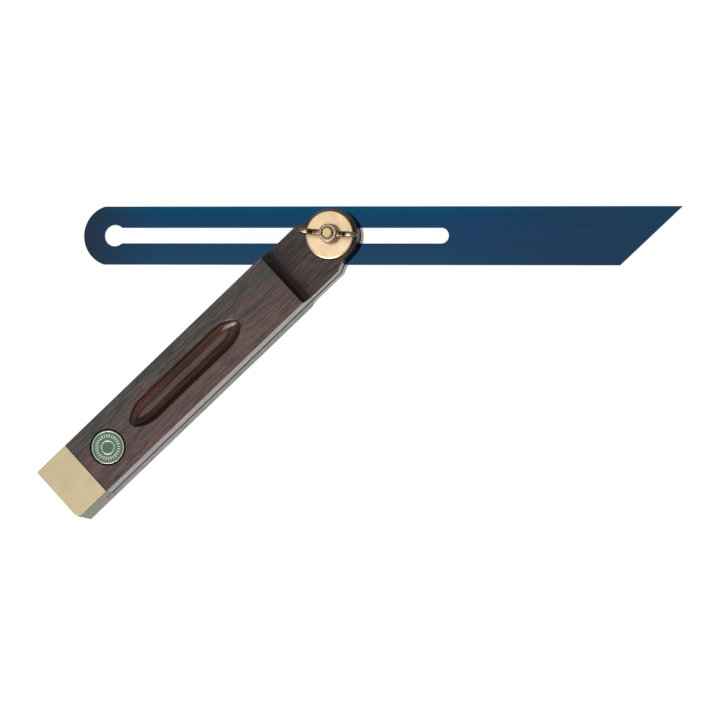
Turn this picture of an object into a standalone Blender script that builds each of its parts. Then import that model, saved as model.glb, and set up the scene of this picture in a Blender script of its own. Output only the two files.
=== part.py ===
"""Sliding bevel: a slotted wooden stock, a blued blade and a brass wing nut.

Metres, +Z up. The bevel lies on its back. The origin is the middle of the
grip's flat back, +X runs along the stock from the brass cap to the head, and
the blade swings about the bolt's axis, which is parallel to Z.
"""
import math

import bmesh
import bpy
from mathutils import Matrix, Vector

# Stock
STOCK_WIDTH = 0.0260
STOCK_THICKNESS = 0.0200
GRIP_LENGTH = 0.1287
STEP_TO_PIVOT = 0.0275
SHOULDER_DROP = 0.0022
SHOULDER_TO_PIVOT = 0.0083
SHOULDER_RADIUS = 0.0150
COVE_RADIUS = 0.0050
EDGE_EASE = 0.0004

# Finger groove in the front of the grip
GROOVE_WIDTH = 0.0108
GROOVE_DEPTH = 0.0034
GROOVE_END_RUN = 0.0110
GROOVE_TO_STEP = 0.0241
GROOVE_TO_BADGE = 0.0057
GROOVE_FULLNESS_SHARE = 0.65
GROOVE_TIP_SHARE = 0.03
GROOVE_CROWDING = 1.5

# Brass end cap
CAP_LENGTH = 0.0164
CAP_WALL = 0.0014
CAP_CORNER_ACROSS = 0.0013
CAP_CORNER_ALONG = 0.0024
CAP_CORNER_BACK_SHARE = 0.25
SLOT_INTO_CAP = 0.0034

# Badge
BADGE_DIAMETER = 0.0138
BADGE_THICKNESS = 0.0010
BADGE_RIM = 0.0009
BADGE_TO_CAP = 0.0126
BADGE_EASE = 0.0002
ENAMEL_THICKNESS = 0.0003
POCKET_MARGIN = 0.0006
BADGE_SINK = 0.0001

# Blade
BLADE_LENGTH = 0.2500
BLADE_WIDTH = 0.0241
BLADE_THICKNESS = 0.0015
BLADE_END_CORNER = 0.00065
BLADE_EDGE_EASE = 0.00012
ROUND_END_TO_PIVOT = 0.1062
BLADE_SLOT_WIDTH = 0.0064
BLADE_SLOT_END = 0.1539
KEYHOLE_CLEARANCE = 0.00065
KEYHOLE_TO_END = 0.0132
TIP_ANGLE = math.radians(43.6)
REST_ANGLE = math.radians(-43.8)

# Bolt, washers and wing nut
SHANK_DIAMETER = 0.0075
THREAD_DIAMETER = 0.0050
BOLT_HEAD_DIAMETER = 0.0115
BOLT_HEAD_HEIGHT = 0.00135
BOLT_HEAD_CROWN = 0.0006
BOLT_PROUD = 0.0008
BOLT_END_CHAMFER = 0.0008
FRONT_WASHER_DIAMETER = 0.0208
FRONT_WASHER_THICKNESS = 0.0020
FRONT_WASHER_RIM = 0.0010
FRONT_WASHER_PLAY = 0.00056
BACK_WASHER_DIAMETER = 0.0203
BACK_WASHER_THICKNESS = 0.0015
BACK_WASHER_RIM = 0.0009
HUB_WALL = 0.0012
HUB_FLARE = 0.0011
HUB_HEIGHT = 0.0063
HUB_FOOT = 0.0010
HUB_TOP_CHAMFER = 0.0005
WING_SPAN = 0.0249
WING_THICKNESS = 0.0022
WING_EAR_RADIUS = 0.0029
WING_RISE = 0.0024
WING_EDGE_EASE = 0.0006
EAR_START = math.radians(-62)
EAR_END = math.radians(112)
NUT_ANGLE = math.radians(-4.8)

# Clearances
SEAT_GAP = 0.0002
RUN_GAP = 0.00015
BLADE_SIDE_GAP = 0.0003
BACK_CLEARANCE = 0.00025
OVERRUN = 0.0020
WELD = 0.000001

# Facet counts
FINE_STEPS = 48
ROUND_STEPS = 32
ARC_STEPS = 8
FILLET_STEPS = 3
SMOOTH_ANGLE = math.radians(32)

# Places that follow from the sizes
STEP_X = GRIP_LENGTH / 2
PIVOT_X = STEP_X + STEP_TO_PIVOT
CAP_END_X = -GRIP_LENGTH / 2
JOINT_X = CAP_END_X + CAP_LENGTH
SLOT_BOTTOM_X = JOINT_X - SLOT_INTO_CAP
HALF_WIDTH = STOCK_WIDTH / 2
HEAD_RADIUS = HALF_WIDTH - SHOULDER_DROP
HEAD_END_X = PIVOT_X + HEAD_RADIUS
MID_Z = STOCK_THICKNESS / 2
HEAD_RECESS = BACK_WASHER_THICKNESS + BOLT_HEAD_HEIGHT + 2 * SEAT_GAP + BACK_CLEARANCE
HEAD_FRONT_Z = STOCK_THICKNESS - HEAD_RECESS
BADGE_X = JOINT_X + BADGE_TO_CAP
BADGE_DISH = ENAMEL_THICKNESS + SEAT_GAP / 2
POCKET_RADIUS = BADGE_DIAMETER / 2 + POCKET_MARGIN
POCKET_DEPTH = BADGE_THICKNESS + SEAT_GAP + BADGE_SINK
GROOVE_START_X = BADGE_X + POCKET_RADIUS + GROOVE_TO_BADGE
GROOVE_LENGTH = STEP_X - GROOVE_TO_STEP - GROOVE_START_X
BLADE_END_RADIUS = BLADE_WIDTH / 2 + BLADE_END_CORNER
KEYHOLE_DIAMETER = SHANK_DIAMETER + 2 * KEYHOLE_CLEARANCE
HUB_TOP_DIAMETER = THREAD_DIAMETER + 2 * HUB_WALL
HUB_BASE_DIAMETER = HUB_TOP_DIAMETER + 2 * HUB_FLARE
STOCK_SLOT = BLADE_THICKNESS + 2 * BLADE_SIDE_GAP
WASHER_BASE_Z = HEAD_FRONT_Z + SEAT_GAP
NUT_BASE_Z = WASHER_BASE_Z + FRONT_WASHER_THICKNESS + SEAT_GAP
BOLT_END_Z = NUT_BASE_Z + HUB_HEIGHT + BOLT_PROUD
BACK_WASHER_Z = HEAD_RECESS - SEAT_GAP - BACK_WASHER_THICKNESS
BOLT_HEAD_Z = BACK_WASHER_Z - SEAT_GAP - BOLT_HEAD_HEIGHT
SHANK_TOP_Z = MID_Z + STOCK_SLOT / 2 - SEAT_GAP

# Colour, roughness and metallic value of each finish
FINISHES = {
    "dark_wood": ((0.085, 0.066, 0.062), 0.42, 0.0),
    "satin_brass": ((0.60, 0.50, 0.29), 0.38, 1.0),
    "bright_brass": ((0.83, 0.65, 0.38), 0.18, 1.0),
    "blued_steel": ((0.012, 0.062, 0.13), 0.30, 0.9),
    "badge_metal": ((0.55, 0.57, 0.50), 0.35, 1.0),
    "green_enamel": ((0.065, 0.19, 0.105), 0.20, 0.0),
}


def clear_scene():
    for item in list(bpy.data.objects):
        bpy.data.objects.remove(item, do_unlink=True)


def finish(name):
    """The Principled material of one finish, made once."""
    found = bpy.data.materials.get(name)
    if found:
        return found
    colour, roughness, metallic = FINISHES[name]
    made = bpy.data.materials.new(name)
    made.use_nodes = True
    shader = made.node_tree.nodes["Principled BSDF"]
    shader.inputs["Base Color"].default_value = (*colour, 1.0)
    shader.inputs["Roughness"].default_value = roughness
    shader.inputs["Metallic"].default_value = metallic
    return made


def add_object(name, bm, material=None, place=(0, 0, 0), smooth=False):
    """Turn a bmesh into a named object with outward faces."""
    bmesh.ops.remove_doubles(bm, verts=bm.verts, dist=WELD)
    bmesh.ops.recalc_face_normals(bm, faces=bm.faces)
    mesh = bpy.data.meshes.new(name)
    bm.to_mesh(mesh)
    bm.free()
    if smooth:
        mesh.shade_smooth()
        mesh.set_sharp_from_angle(angle=SMOOTH_ANGLE)
    if material:
        mesh.materials.append(finish(material))
    made = bpy.data.objects.new(name, mesh)
    made.location = place
    bpy.context.scene.collection.objects.link(made)
    return made


def arc(centre, radius, start, end, steps):
    """Points along an arc, both ends included."""
    points = []
    for i in range(steps + 1):
        angle = start + (end - start) * i / steps
        points.append((centre[0] + radius * math.cos(angle), centre[1] + radius * math.sin(angle)))
    return points


def prism(outline, low, high, ease=0.0):
    """A closed outline extruded along Z, with the rims of both ends eased."""
    bm = bmesh.new()
    face = bm.faces.new([bm.verts.new((x, y, low)) for x, y in outline])
    grown = bmesh.ops.extrude_face_region(bm, geom=[face])
    moved = [v for v in grown["geom"] if isinstance(v, bmesh.types.BMVert)]
    bmesh.ops.translate(bm, verts=moved, vec=(0, 0, high - low))
    if ease:
        rims = [e for e in bm.edges if abs(e.verts[0].co.z - e.verts[1].co.z) < WELD]
        bmesh.ops.bevel(bm, geom=rims, offset=ease, segments=FILLET_STEPS - 1, profile=0.5,
                        affect="EDGES", clamp_overlap=True)
    return bm


def block(low, high):
    """A plain box between two corners."""
    outline = [(low[0], low[1]), (high[0], low[1]), (high[0], high[1]), (low[0], high[1])]
    return prism(outline, low[2], high[2])


def turned(profile, steps, closed=False):
    """A profile of radius and height points turned about Z."""
    bm = bmesh.new()
    verts = [bm.verts.new((radius, 0, height)) for radius, height in profile]
    pairs = list(zip(verts, verts[1:]))
    if closed:
        pairs.append((verts[-1], verts[0]))
    edges = [bm.edges.new(pair) for pair in pairs]
    bmesh.ops.spin(bm, geom=verts + edges, cent=(0, 0, 0), axis=(0, 0, 1),
                   angle=math.tau, steps=steps, use_merge=True)
    return bm


def tool(name, bm, place=(0, 0, 0)):
    """A cutter or an added form, which is left out of the render."""
    made = add_object(name, bm, place=place)
    made.hide_render = True
    made.display_type = "WIRE"
    return made


def combine(target, other, operation):
    """Add a live Boolean; its tool takes the target's parent, to stay in place."""
    step = target.modifiers.new(other.name, "BOOLEAN")
    step.operation = operation
    step.solver = "EXACT"
    step.object = other
    other.parent = target.parent


def stock_outline():
    """The stock seen from the front: straight edges, flared shoulders and a round head."""
    sweep = math.acos(1 - SHOULDER_DROP / SHOULDER_RADIUS)
    flare_x = PIVOT_X - SHOULDER_TO_PIVOT + SHOULDER_RADIUS * math.sin(sweep)
    below = (flare_x, -HEAD_RADIUS - SHOULDER_RADIUS)
    quarter = math.pi / 2
    lower = arc(below, SHOULDER_RADIUS, quarter + sweep, quarter, ARC_STEPS)
    head = arc((PIVOT_X, 0), HEAD_RADIUS, -quarter, quarter, ROUND_STEPS)
    upper = [(x, -y) for x, y in reversed(lower)]
    return [(JOINT_X, -HALF_WIDTH)] + lower + head + upper + [(JOINT_X, HALF_WIDTH)]


def recess_cutter(front):
    """The space over the thinned head, with the cove where the grip begins."""
    sweep = math.acos(1 - HEAD_RECESS / COVE_RADIUS)
    cove_x = STEP_X + COVE_RADIUS * math.sin(sweep)
    far_x = HEAD_END_X + OVERRUN
    top = STOCK_THICKNESS + OVERRUN
    side = [(far_x, top), (STEP_X, top)]
    for i in range(ARC_STEPS + 1):
        angle = sweep * (1 - i / ARC_STEPS)
        drop = COVE_RADIUS * (1 - math.cos(angle))
        side.append((cove_x - COVE_RADIUS * math.sin(angle), HEAD_FRONT_Z + drop))
    side.append((far_x, HEAD_FRONT_Z))
    if not front:
        side = [(x, STOCK_THICKNESS - z) for x, z in side]
    half = HALF_WIDTH + OVERRUN
    bm = bmesh.new()
    face = bm.faces.new([bm.verts.new((x, -half, z)) for x, z in side])
    grown = bmesh.ops.extrude_face_region(bm, geom=[face])
    moved = [v for v in grown["geom"] if isinstance(v, bmesh.types.BMVert)]
    bmesh.ops.translate(bm, verts=moved, vec=(0, 2 * half, 0))
    return bm


def groove_stations():
    """Place along the groove and share of its full section there."""
    stations = []
    for i in range(ARC_STEPS + 1):
        along_share = GROOVE_TIP_SHARE + (1 - GROOVE_TIP_SHARE) * (i / ARC_STEPS) ** GROOVE_CROWDING
        section_share = (1 - (1 - along_share) ** 2) ** GROOVE_FULLNESS_SHARE
        stations.append((GROOVE_END_RUN * along_share, section_share))
    mirrored = [(GROOVE_LENGTH - along, section_share) for along, section_share in reversed(stations)]
    return stations + mirrored


def groove_cutter():
    """A canoe of round section that sinks the finger groove."""
    top = STOCK_THICKNESS + OVERRUN
    bm = bmesh.new()
    rings = []
    for along, section_share in groove_stations():
        half = GROOVE_WIDTH / 2 * section_share
        depth = GROOVE_DEPTH * section_share
        radius = (half * half + depth * depth) / (2 * depth)
        sweep = math.asin(min(1, half / radius))
        x = GROOVE_START_X + along
        ring = [bm.verts.new((x, -half, top))]
        for i in range(2 * ARC_STEPS + 1):
            angle = sweep * (i / ARC_STEPS - 1)
            z = STOCK_THICKNESS - depth + radius * (1 - math.cos(angle))
            ring.append(bm.verts.new((x, radius * math.sin(angle), z)))
        ring.append(bm.verts.new((x, half, top)))
        rings.append(ring)
    for one, two in zip(rings, rings[1:]):
        for i in range(len(one)):
            j = (i + 1) % len(one)
            bm.faces.new((one[i], one[j], two[j], two[i]))
    bm.faces.new(rings[0])
    bm.faces.new(rings[-1])
    return bm


def blade_slot_cutter():
    """The slot for the blade, open at both edges and the head."""
    half = HALF_WIDTH + OVERRUN
    low = (SLOT_BOTTOM_X, -half, MID_Z - STOCK_SLOT / 2)
    high = (HEAD_END_X + OVERRUN, half, MID_Z + STOCK_SLOT / 2)
    return block(low, high)


def round_hole(diameter, low, high):
    radius = diameter / 2
    return turned([(0, low), (radius, low), (radius, high), (0, high)], ROUND_STEPS)


def make_stock():
    stock = add_object("stock", prism(stock_outline(), 0, STOCK_THICKNESS, EDGE_EASE), "dark_wood",
                       smooth=True)
    inset = CAP_WALL + SEAT_GAP
    tenon_low = (CAP_END_X + inset, inset - HALF_WIDTH, inset)
    tenon_high = (JOINT_X + OVERRUN, HALF_WIDTH - inset, STOCK_THICKNESS - inset)
    combine(stock, tool("stock_tenon", block(tenon_low, tenon_high)), "UNION")
    combine(stock, tool("stock_front_recess", recess_cutter(True)), "DIFFERENCE")
    combine(stock, tool("stock_back_recess", recess_cutter(False)), "DIFFERENCE")
    combine(stock, tool("stock_blade_slot", blade_slot_cutter()), "DIFFERENCE")
    combine(stock, tool("stock_groove", groove_cutter()), "DIFFERENCE")
    pivot = (PIVOT_X, 0, 0)
    shank_hole = round_hole(SHANK_DIAMETER + 2 * RUN_GAP, -OVERRUN, MID_Z)
    combine(stock, tool("stock_shank_hole", shank_hole, pivot), "DIFFERENCE")
    thread_hole = round_hole(THREAD_DIAMETER + 2 * RUN_GAP, MID_Z - STOCK_SLOT / 4,
                             STOCK_THICKNESS + OVERRUN)
    combine(stock, tool("stock_thread_hole", thread_hole, pivot), "DIFFERENCE")
    pocket = round_hole(2 * POCKET_RADIUS, STOCK_THICKNESS - POCKET_DEPTH, STOCK_THICKNESS + OVERRUN)
    combine(stock, tool("stock_badge_pocket", pocket, (BADGE_X, 0, 0)), "DIFFERENCE")


def slice_corner(bm):
    """Slice a corner off the cap's end, deep at the front and shallow at the back."""
    across = Vector((CAP_END_X, CAP_CORNER_ACROSS - HALF_WIDTH, STOCK_THICKNESS))
    along = Vector((CAP_END_X + CAP_CORNER_ALONG, -HALF_WIDTH, STOCK_THICKNESS))
    back = Vector((CAP_END_X, CAP_CORNER_ACROSS * CAP_CORNER_BACK_SHARE - HALF_WIDTH, 0))
    inwards = (along - across).cross(back - across)
    cut = bmesh.ops.bisect_plane(bm, geom=bm.verts[:] + bm.edges[:] + bm.faces[:],
                                 plane_co=across, plane_no=inwards, clear_inner=True)
    rim = [edge for edge in cut["geom_cut"] if isinstance(edge, bmesh.types.BMEdge)]
    bmesh.ops.edgeloop_fill(bm, edges=rim)


def make_end_cap():
    """A brass box over the wood's end, with one corner of its end cut off."""
    mouth_x = JOINT_X - SEAT_GAP
    outline = [
        (CAP_END_X, -HALF_WIDTH),
        (mouth_x, -HALF_WIDTH),
        (mouth_x, HALF_WIDTH),
        (CAP_END_X, HALF_WIDTH),
    ]
    shell = prism(outline, 0, STOCK_THICKNESS, EDGE_EASE)
    slice_corner(shell)
    cap = add_object("end_cap", shell, "satin_brass", smooth=True)
    low = (CAP_END_X + CAP_WALL, CAP_WALL - HALF_WIDTH, CAP_WALL)
    high = (mouth_x + OVERRUN, HALF_WIDTH - CAP_WALL, STOCK_THICKNESS - CAP_WALL)
    combine(cap, tool("end_cap_hollow", block(low, high)), "DIFFERENCE")
    combine(cap, tool("end_cap_slot", blade_slot_cutter()), "DIFFERENCE")


def make_badge():
    """A rimmed metal disc in the stock's pocket, and the enamel in its dish."""
    centre = (BADGE_X, 0, STOCK_THICKNESS - POCKET_DEPTH + SEAT_GAP)
    outer = BADGE_DIAMETER / 2
    dish = outer - BADGE_RIM
    floor = BADGE_THICKNESS - BADGE_DISH
    plate = [
        (0, 0), (outer, 0), (outer, BADGE_THICKNESS - BADGE_EASE),
        (outer - BADGE_EASE, BADGE_THICKNESS), (dish, BADGE_THICKNESS), (dish, floor), (0, floor),
    ]
    add_object("badge_plate", turned(plate, FINE_STEPS), "badge_metal", centre, smooth=True)
    radius = dish - RUN_GAP
    low = floor + SEAT_GAP / 2
    high = low + ENAMEL_THICKNESS
    enamel = [(0, low), (radius, low), (radius, high), (0, high)]
    add_object("badge_enamel", turned(enamel, FINE_STEPS), "green_enamel", centre, smooth=True)


def blade_outline():
    """The blade in its own frame: pivot at the origin, tip along +X."""
    half = BLADE_WIDTH / 2
    round_x = BLADE_END_RADIUS - ROUND_END_TO_PIVOT
    lean = math.asin(half / BLADE_END_RADIUS)
    tip_x = BLADE_LENGTH - ROUND_END_TO_PIVOT
    lower = (tip_x - BLADE_WIDTH / math.tan(TIP_ANGLE), -half)
    return arc((round_x, 0), BLADE_END_RADIUS, math.pi - lean, math.pi + lean, ROUND_STEPS) + [
        lower, (tip_x, half)]


def keyhole_outline():
    """The long slot with its round far end and the larger hole at the near end."""
    half = BLADE_SLOT_WIDTH / 2
    hole = KEYHOLE_DIAMETER / 2
    hole_x = KEYHOLE_TO_END - ROUND_END_TO_PIVOT
    end_x = BLADE_SLOT_END - ROUND_END_TO_PIVOT - half
    opening = math.asin(half / hole)
    quarter = math.pi / 2
    return (arc((hole_x, 0), hole, opening, math.tau - opening, ROUND_STEPS)
            + arc((end_x, 0), half, -quarter, quarter, 2 * ARC_STEPS))


def make_blade(parent):
    half = BLADE_THICKNESS / 2
    blade = add_object("blade", prism(blade_outline(), -half, half, BLADE_EDGE_EASE), "blued_steel",
                       (0, 0, MID_Z), smooth=True)
    blade.parent = parent
    slot = tool("blade_keyhole", prism(keyhole_outline(), -half - OVERRUN, half + OVERRUN),
                (0, 0, MID_Z))
    combine(blade, slot, "DIFFERENCE")


def make_pivot_bolt(parent):
    """Low crowned head, a shank with two flats for the blade's slot, and the threaded end."""
    head = BOLT_HEAD_DIAMETER / 2
    shank = SHANK_DIAMETER / 2
    thread = THREAD_DIAMETER / 2
    rim_z = BOLT_HEAD_Z + BOLT_HEAD_CROWN
    dome = (head * head + BOLT_HEAD_CROWN ** 2) / (2 * BOLT_HEAD_CROWN)
    sweep = math.asin(head / dome)
    profile = []
    for i in range(ARC_STEPS + 1):
        angle = sweep * i / ARC_STEPS
        profile.append((dome * math.sin(angle), BOLT_HEAD_Z + dome * (1 - math.cos(angle))))
    profile[-1] = (head, rim_z)
    head_top = BOLT_HEAD_Z + BOLT_HEAD_HEIGHT
    profile += [
        (head, head_top), (shank, head_top), (shank, SHANK_TOP_Z), (thread, SHANK_TOP_Z),
        (thread, BOLT_END_Z - BOLT_END_CHAMFER), (thread - BOLT_END_CHAMFER, BOLT_END_Z),
        (0, BOLT_END_Z),
    ]
    bolt = add_object("pivot_bolt", turned(profile, ROUND_STEPS), "bright_brass", smooth=True)
    bolt.parent = parent
    flat = BLADE_SLOT_WIDTH / 2 - RUN_GAP
    flat_z = MID_Z - STOCK_SLOT / 2 - BLADE_SIDE_GAP
    for side, name in ((1, "bolt_flat_left"), (-1, "bolt_flat_right")):
        near, far = sorted((side * flat, side * (shank + OVERRUN)))
        low = (-shank - OVERRUN, near, flat_z)
        cutter = block(low, (shank + OVERRUN, far, SHANK_TOP_Z + SEAT_GAP / 2))
        combine(bolt, tool(name, cutter), "DIFFERENCE")


def washer_profile(bore, diameter, thickness, rim):
    """A flat ring whose outer rim is rounded on its upper side."""
    outer = diameter / 2
    points = [(bore, 0), (outer, 0)]
    points += arc((outer - rim, thickness - rim), rim, 0, math.pi / 2, FILLET_STEPS)
    return points + [(bore, thickness)]


def make_front_washer(parent):
    """The upper washer, loose on the thread and lying a little off the axis."""
    bore = THREAD_DIAMETER / 2 + RUN_GAP + FRONT_WASHER_PLAY
    profile = washer_profile(bore, FRONT_WASHER_DIAMETER, FRONT_WASHER_THICKNESS, FRONT_WASHER_RIM)
    bm = turned(profile, FINE_STEPS, closed=True)
    bmesh.ops.translate(bm, verts=bm.verts, vec=(-FRONT_WASHER_PLAY, 0, 0))
    front = add_object("front_washer", bm, "bright_brass", (0, 0, WASHER_BASE_Z), smooth=True)
    front.parent = parent


def make_back_washer():
    bore = SHANK_DIAMETER / 2 + RUN_GAP
    profile = washer_profile(bore, BACK_WASHER_DIAMETER, BACK_WASHER_THICKNESS, BACK_WASHER_RIM)
    bm = turned(profile, FINE_STEPS, closed=True)
    bmesh.ops.transform(bm, matrix=Matrix.Rotation(math.pi, 4, "X"), verts=bm.verts)
    place = (PIVOT_X, 0, BACK_WASHER_Z + BACK_WASHER_THICKNESS)
    add_object("back_washer", bm, "bright_brass", place, smooth=True)


def wings_outline():
    """Both wings from the side, with the dip between them inside the hub."""
    ear = WING_EAR_RADIUS
    base = HUB_BASE_DIAMETER / 2
    top = HUB_TOP_DIAMETER / 2
    ear_x = WING_SPAN / 2 - ear
    ear_z = HUB_HEIGHT + WING_RISE - ear
    dip_z = HUB_HEIGHT - HUB_TOP_CHAMFER * 2
    right = [(base - HUB_FOOT, HUB_FOOT)]
    right += arc((ear_x, ear_z), ear, EAR_START, EAR_END, 2 * ARC_STEPS)
    right += [((top + ear_x) / 2, dip_z + WING_RISE / 4), (top, dip_z)]
    left = [(-x, z) for x, z in reversed(right)]
    return right + left


def make_wing_nut(parent):
    """A turned hub with two upright wings, right across it, and a threaded bore."""
    base = HUB_BASE_DIAMETER / 2
    top = HUB_TOP_DIAMETER / 2
    hub = [
        (0, 0), (base, 0), (base, HUB_FOOT), (top, HUB_HEIGHT - HUB_TOP_CHAMFER),
        (top - HUB_TOP_CHAMFER, HUB_HEIGHT), (0, HUB_HEIGHT),
    ]
    place = (0, 0, NUT_BASE_Z)
    nut = add_object("wing_nut", turned(hub, ROUND_STEPS), "bright_brass", place, smooth=True)
    nut.parent = parent
    half = WING_THICKNESS / 2
    wings = prism(wings_outline(), -half, half, WING_EDGE_EASE)
    bmesh.ops.transform(wings, matrix=Matrix.Rotation(math.pi / 2, 4, "X"), verts=wings.verts)
    combine(nut, tool("wing_nut_wings", wings, place), "UNION")
    bore = round_hole(THREAD_DIAMETER + 2 * RUN_GAP, -OVERRUN, HUB_HEIGHT + WING_RISE + OVERRUN)
    combine(nut, tool("wing_nut_bore", bore, place), "DIFFERENCE")


def axis_empty(name, place, angle, parent=None):
    """An empty on a joint's axis, which carries what turns with it."""
    made = bpy.data.objects.new(name, None)
    made.location = place
    made.rotation_euler = (0, 0, angle)
    made.parent = parent
    bpy.context.scene.collection.objects.link(made)
    return made


def build():
    clear_scene()
    make_stock()
    make_end_cap()
    make_badge()
    swing = axis_empty("swing_axis", (PIVOT_X, 0, 0), REST_ANGLE)
    make_pivot_bolt(swing)
    make_blade(swing)
    make_front_washer(swing)
    make_back_washer()
    make_wing_nut(axis_empty("nut_axis", (0, 0, 0), NUT_ANGLE, swing))
    bpy.context.view_layer.update()


build()
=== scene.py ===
import math

import bmesh
import bpy
from mathutils import Matrix, Vector


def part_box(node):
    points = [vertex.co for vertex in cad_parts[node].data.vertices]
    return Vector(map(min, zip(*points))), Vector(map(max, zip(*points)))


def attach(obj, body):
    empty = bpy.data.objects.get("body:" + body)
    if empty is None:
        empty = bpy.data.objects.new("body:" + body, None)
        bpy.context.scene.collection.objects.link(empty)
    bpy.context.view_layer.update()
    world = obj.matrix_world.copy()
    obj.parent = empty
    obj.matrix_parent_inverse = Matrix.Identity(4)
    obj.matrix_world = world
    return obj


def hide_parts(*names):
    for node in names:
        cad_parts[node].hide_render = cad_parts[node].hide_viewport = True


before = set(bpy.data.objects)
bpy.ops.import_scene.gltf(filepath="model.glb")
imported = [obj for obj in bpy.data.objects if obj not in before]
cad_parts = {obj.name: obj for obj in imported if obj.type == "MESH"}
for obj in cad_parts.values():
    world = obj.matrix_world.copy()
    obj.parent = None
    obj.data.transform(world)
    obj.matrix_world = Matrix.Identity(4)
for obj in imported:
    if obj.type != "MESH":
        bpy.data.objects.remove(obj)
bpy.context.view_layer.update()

# Sizes and places that the frame gives
STOCK_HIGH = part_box("stock")[1]
CAP_LOW, CAP_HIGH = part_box("end_cap")
PLATE_LOW, PLATE_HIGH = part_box("badge_plate")
ENAMEL_LOW, ENAMEL_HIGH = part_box("badge_enamel")
BLADE_LOW, BLADE_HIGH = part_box("blade")
BOLT_LOW, BOLT_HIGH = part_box("pivot_bolt")
FRONT_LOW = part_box("front_washer")[0]
BACK_LOW, BACK_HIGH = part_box("back_washer")
NUT_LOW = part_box("wing_nut")[0]
PIVOT = Vector(((BACK_LOW.x + BACK_HIGH.x) / 2, 0, 0))
HALF_WIDTH = STOCK_HIGH.y
THICKNESS = STOCK_HIGH.z
MID_Z = THICKNESS / 2

# Stock
SEAT_GAP = 0.0002
RUN_GAP = 0.00015
JOINT_X = CAP_HIGH.x + SEAT_GAP
STEP_X = PIVOT.x - 0.0275
HEAD_FRONT_Z = FRONT_LOW.z - SEAT_GAP
HEAD_RADIUS = STOCK_HIGH.x - PIVOT.x
SHOULDER_TO_PIVOT = 0.0083
SHOULDER_RADIUS = 0.0150
COVE_RADIUS = 0.0050
EDGE_EASE = 0.00035
SLOT_EASE = 0.00015
BLADE_SLOT = 0.0021
SLOT_BOTTOM_X = JOINT_X - 0.0034
SHANK_DIAMETER = 0.0075
THREAD_DIAMETER = 0.0050

# Finger groove
GROOVE_START_X = -0.02215
GROOVE_LENGTH = 0.0624
GROOVE_WIDTH = 0.0108
GROOVE_DEPTH = 0.0034
GROOVE_END_RUN = 0.0110
GROOVE_FULLNESS_SHARE = 0.65
GROOVE_TIP_SHARE = 0.03
GROOVE_CROWDING = 1.5
GROOVE_LIP = 0.0006
GROOVE_LIP_LIMIT = 0.3
GROOVE_LIP_LEAN = 0.02

# End cap
CAP_WALL = 0.0014
CAP_CORNER_ACROSS = 0.0013
CAP_CORNER_ALONG = 0.0024
CAP_CORNER_BACK_SHARE = 0.25

# Badge
BADGE_RIM = 0.0006
BADGE_EASE = 0.0002
POCKET_MARGIN = 0.0006
BADGE_CENTRE = (PLATE_LOW + PLATE_HIGH) / 2
BADGE_RADIUS = (PLATE_HIGH.y - PLATE_LOW.y) / 2
POCKET_RADIUS = BADGE_RADIUS + POCKET_MARGIN
RING_RADIUS = 0.0027
RING_WIDTH = 0.0006
TICK_COUNT = 28
TICK_RADIUS = 0.0047
TICK_LENGTH = 0.0014
TICK_WIDTH = 0.00050
TICK_HEIGHT = 0.00012

# Blade
BLADE_LENGTH = 0.2500
BLADE_WIDTH = 0.0241
BLADE_END_RADIUS = 0.01268
BLADE_EASE = 0.00014
ROUND_END_TO_PIVOT = 0.1062
BLADE_SLOT_WIDTH = 0.0064
BLADE_SLOT_END = 0.1539
KEYHOLE_DIAMETER = 0.0088
KEYHOLE_TO_END = 0.0132
TIP_ANGLE = math.radians(43.6)
REST_ANGLE = math.radians(-43.8)
BLADE_PLACE = Matrix.Translation(PIVOT) @ Matrix.Rotation(REST_ANGLE, 4, "Z")

# Bolt, washers and wing nut
BOLT_CROWN = 0.0006
BOLT_HEAD_HEIGHT = 0.00135
BOLT_CHAMFER = 0.0008
THREAD_PITCH = 0.0008
THREAD_DEPTH = 0.00038
THREAD_FLANK = 2.5
THREAD_CREST = 0.15
RINGS_PER_TURN = 8
THREAD_START_Z = FRONT_LOW.z
WASHER_RIM_WIDTH = 0.0013
WASHER_RIM_HEIGHT = 0.0011
FRONT_WASHER_PLAY = 0.00056
HUB_BASE_DIAMETER = 0.0084
HUB_TOP_DIAMETER = 0.0074
HUB_HEIGHT = 0.0063
HUB_FOOT = 0.0010
HUB_TOP_CHAMFER = 0.00025
HUB_SINK = 0.0001
WING_SPAN = 0.0249
WING_THICKNESS = 0.0026
WING_EAR_RADIUS = 0.0034
WING_RISE = 0.0024
WING_EASE = 0.0010
WING_TAPER_SHARE = 0.22
EAR_START = math.radians(-62)
EAR_END = math.radians(112)
NUT_ANGLE = REST_ANGLE + math.radians(-4.2)
CASTING_GRAIN = 0.00013

# Modelling
WELD = 0.000001
OVERRUN = 0.0020
SHARP_ANGLE = math.radians(38)
FLAT_ANGLE = math.radians(0.4)
MITRE_LIMIT = 0.2
RIM_STEPS = 3
FINE_STEPS = 96
TURN_STEPS = 128

# Camera, as the photograph was taken
LENS = 253.14
SENSOR = 36.0
CAMERA_PLACE = Vector((0.29006, -0.42522, 2.03385))
CAMERA_LOOK = Vector((-0.108739, 0.183677, -0.976954))
CAMERA_TOP = Vector((0.687133, 0.724079, 0.059653))
CLIP_START = 0.1
CLIP_END = 20.0

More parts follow.
